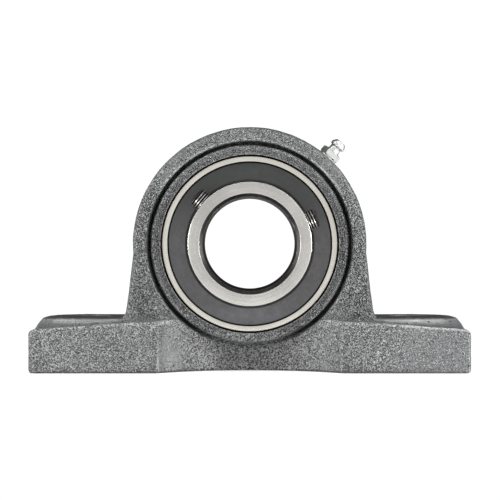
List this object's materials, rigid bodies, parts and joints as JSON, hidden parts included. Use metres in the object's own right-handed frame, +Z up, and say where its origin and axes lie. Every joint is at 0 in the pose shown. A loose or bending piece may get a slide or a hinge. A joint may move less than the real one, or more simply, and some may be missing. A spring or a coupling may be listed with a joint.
{
  "type": "pillow block ball bearing",
  "caption": "Cast pillow block with slotted feet holding a self-aligning ball bearing whose wide inner ring locks to a shaft with set screws; grease nipple on the arch.",
  "frame": {"origin": "on the base plane under the bearing centre, half way between the two bolt slots", "axes": "+X along the base towards the foot on the grease nipple's side, -Y along the shaft towards the set screws, +Z up"},
  "size_m": [0.163, 0.0494, 0.0921],
  "materials": {
    "housing_paint": "grey paint over rough sand casting",
    "bearing_steel": "ground",
    "ball_steel": "polished",
    "cage_steel": "pressed",
    "dark_coating": "matt dark coating",
    "seal_rubber": "matt",
    "screw_steel": "blackened thread",
    "zinc_plate": "bright zinc plate"
  },
  "bodies": {
    "housing": {"housing": "housing_paint", "grease_nipple_body": "zinc_plate", "grease_nipple_spring": "cage_steel"},
    "outer_ring": {"outer_ring": "bearing_steel", "seal_front": "seal_rubber", "seal_rear": "seal_rubber"},
    "inner_ring": {"inner_ring": "bearing_steel", "slinger_front": "dark_coating", "slinger_rear": "dark_coating"},
    "cage": {"cage_front": "cage_steel", "cage_rear": "cage_steel", "cage_rivet_1": "cage_steel", "cage_rivet_2": "cage_steel", "cage_rivet_3": "cage_steel", "cage_rivet_4": "cage_steel", "cage_rivet_5": "cage_steel", "cage_rivet_6": "cage_steel", "cage_rivet_7": "cage_steel", "cage_rivet_8": "cage_steel", "cage_rivet_9": "cage_steel"},
    "set_screw_1": {"set_screw_1": "screw_steel"},
    "set_screw_2": {"set_screw_2": "screw_steel"},
    "nipple_ball": {"grease_nipple_ball": "ball_steel"},
    "ball_1": {"ball_1": "ball_steel"},
    "ball_2": {"ball_2": "ball_steel"},
    "ball_3": {"ball_3": "ball_steel"},
    "ball_4": {"ball_4": "ball_steel"},
    "ball_5": {"ball_5": "ball_steel"},
    "ball_6": {"ball_6": "ball_steel"},
    "ball_7": {"ball_7": "ball_steel"},
    "ball_8": {"ball_8": "ball_steel"},
    "ball_9": {"ball_9": "ball_steel"}
  },
  "joints": [
    {"name": "ring_swivel", "type": "hinge", "parent": "housing", "child": "outer_ring", "pos_m": [0, 0, 0.0476], "axis": [1, 0, 0], "range_deg": [-2, 2]},
    {"name": "shaft_spin", "type": "hinge", "parent": "outer_ring", "child": "inner_ring", "pos_m": [0, 0, 0.0476], "axis": [0, 1, 0], "continuous": true},
    {"name": "cage_spin", "type": "hinge", "parent": "outer_ring", "child": "cage", "pos_m": [0, 0, 0.0476], "axis": [0, 1, 0], "continuous": true},
    {"name": "ball_1_spin", "type": "hinge", "parent": "cage", "child": "ball_1", "pos_m": [0, 0, 0.07435], "axis": [0, 1, 0], "continuous": true},
    {"name": "ball_2_spin", "type": "hinge", "parent": "cage", "child": "ball_2", "pos_m": [-0.01719, 0, 0.06809], "axis": [0, 1, 0], "continuous": true},
    {"name": "ball_3_spin", "type": "hinge", "parent": "cage", "child": "ball_3", "pos_m": [-0.02634, 0, 0.05224], "axis": [0, 1, 0], "continuous": true},
    {"name": "ball_4_spin", "type": "hinge", "parent": "cage", "child": "ball_4", "pos_m": [-0.02317, 0, 0.03422], "axis": [0, 1, 0], "continuous": true},
    {"name": "ball_5_spin", "type": "hinge", "parent": "cage", "child": "ball_5", "pos_m": [-0.00915, 0, 0.02246], "axis": [0, 1, 0], "continuous": true},
    {"name": "ball_6_spin", "type": "hinge", "parent": "cage", "child": "ball_6", "pos_m": [0.00915, 0, 0.02246], "axis": [0, 1, 0], "continuous": true},
    {"name": "ball_7_spin", "type": "hinge", "parent": "cage", "child": "ball_7", "pos_m": [0.02317, 0, 0.03422], "axis": [0, 1, 0], "continuous": true},
    {"name": "ball_8_spin", "type": "hinge", "parent": "cage", "child": "ball_8", "pos_m": [0.02634, 0, 0.05224], "axis": [0, 1, 0], "continuous": true},
    {"name": "ball_9_spin", "type": "hinge", "parent": "cage", "child": "ball_9", "pos_m": [0.01719, 0, 0.06809], "axis": [0, 1, 0], "continuous": true},
    {"name": "set_screw_1_thread", "type": "slide", "parent": "inner_ring", "child": "set_screw_1", "axis": [0.9304, 0, 0.3665], "range_m": [-0.0012, 0.0022]},
    {"name": "set_screw_2_thread", "type": "slide", "parent": "inner_ring", "child": "set_screw_2", "axis": [-0.7431, 0, 0.6691], "range_m": [-0.0012, 0.0022]},
    {"name": "nipple_check", "type": "slide", "parent": "housing", "child": "nipple_ball", "axis": [0.6691, 0, 0.7431], "range_m": [-0.0012, 0], "stiffness_N_per_m": 300, "springref_m": 0.001, "deforming": ["grease_nipple_spring"]}
  ],
  "couplings": [
    {"joint": "cage_spin", "follows": "shaft_spin", "ratio": 0.39615},
    {"joint": "ball_1_spin", "follows": "shaft_spin", "ratio": -2.3035},
    {"joint": "ball_2_spin", "follows": "shaft_spin", "ratio": -2.3035},
    {"joint": "ball_3_spin", "follows": "shaft_spin", "ratio": -2.3035},
    {"joint": "ball_4_spin", "follows": "shaft_spin", "ratio": -2.3035},
    {"joint": "ball_5_spin", "follows": "shaft_spin", "ratio": -2.3035},
    {"joint": "ball_6_spin", "follows": "shaft_spin", "ratio": -2.3035},
    {"joint": "ball_7_spin", "follows": "shaft_spin", "ratio": -2.3035},
    {"joint": "ball_8_spin", "follows": "shaft_spin", "ratio": -2.3035},
    {"joint": "ball_9_spin", "follows": "shaft_spin", "ratio": -2.3035}
  ]
}
